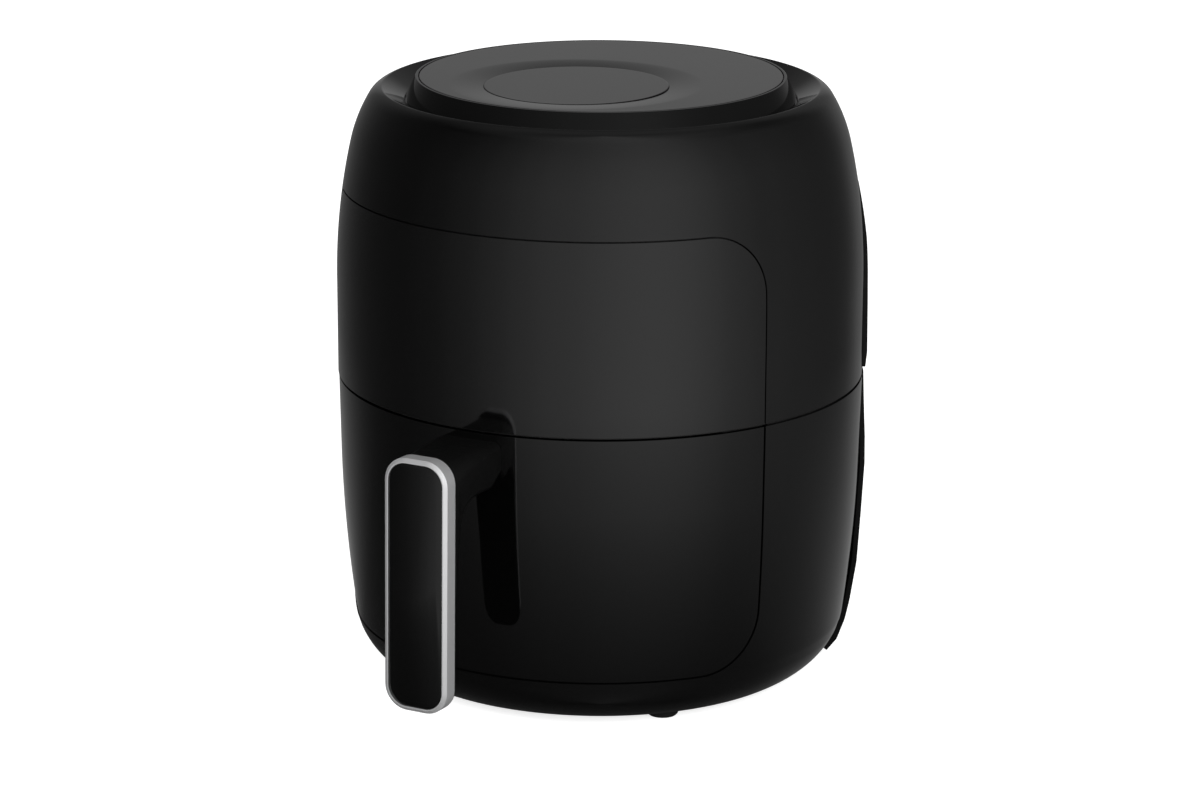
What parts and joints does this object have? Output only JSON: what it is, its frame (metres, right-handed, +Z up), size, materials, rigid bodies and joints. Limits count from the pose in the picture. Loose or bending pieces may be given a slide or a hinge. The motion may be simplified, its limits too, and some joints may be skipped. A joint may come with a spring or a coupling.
{
  "type": "air fryer",
  "caption": "Round countertop air fryer with a glossy body, a front drawer with an upright handle, and a flat round control panel on top.",
  "frame": {"origin": "middle of the footprint, on the surface that the feet stand on", "axes": "+Z up, front with the handle towards -Y, air outlet towards +Y"},
  "size_m": [0.28, 0.3488, 0.3213],
  "materials": {
    "body_gloss": "polished",
    "panel_gloss": "polished",
    "window_gloss": "polished",
    "matte_black": "fine texture",
    "inner_plastic": "moulded",
    "satin_frame": "satin",
    "bright_steel": "brushed",
    "screw_steel": "plain",
    "element_black": "oxidised",
    "nonstick": "non-stick",
    "cast_fan": "plain",
    "foot_rubber": "moulded",
    "silicone": "moulded",
    "ceramic": "fired",
    "board_green": "lacquered",
    "brass": "plain"
  },
  "bodies": {
    "housing": {"base_plate": "matte_black", "feet": "foot_rubber", "base_screws": "screw_steel", "lower_housing": "body_gloss", "upper_housing": "body_gloss", "mid_frame": "inner_plastic", "front_panel": "body_gloss", "drawer_bezel": "inner_plastic", "top_ring": "body_gloss", "control_panel": "panel_gloss", "display_window": "window_gloss", "rear_cover_lower": "matte_black", "rear_cover_upper": "matte_black", "outlet_grille": "matte_black", "exhaust_duct": "bright_steel", "cord_inlet": "foot_rubber", "cavity_floor": "bright_steel", "cavity_liner": "bright_steel", "hot_chamber": "bright_steel", "element_guard": "bright_steel", "heating_element": "element_black", "element_bushes": "ceramic", "temperature_sensor": "bright_steel", "thermal_cutout": "ceramic", "motor_mount": "bright_steel", "fan_motor": "bright_steel", "motor_screws": "screw_steel", "board_deck": "inner_plastic", "power_board": "board_green", "control_board": "board_green", "drawer_switch": "inner_plastic"},
    "drawer": {"drawer_front": "body_gloss", "pan": "nonstick", "pan_bracket": "bright_steel", "bracket_screws": "screw_steel", "handle_body": "matte_black", "handle_frame": "satin_frame", "handle_insert": "panel_gloss", "handle_screws": "screw_steel"},
    "tray": {"crisper_tray": "nonstick", "tray_bumpers": "silicone"},
    "rotor": {"motor_shaft": "bright_steel", "convection_fan": "cast_fan", "cooling_fan": "inner_plastic", "fan_nut": "brass"}
  },
  "joints": [
    {"name": "drawer_slide", "type": "slide", "parent": "housing", "child": "drawer", "axis": [0, -1, 0], "range_m": [0, 0.25]},
    {"name": "tray_lift", "type": "slide", "parent": "drawer", "child": "tray", "axis": [0, 0, -1], "range_m": [-0.1, 0]},
    {"name": "fan_spin", "type": "hinge", "parent": "housing", "child": "rotor", "pos_m": [0, 0.02244, 0.24], "axis": [0, 0, 1], "continuous": true}
  ]
}
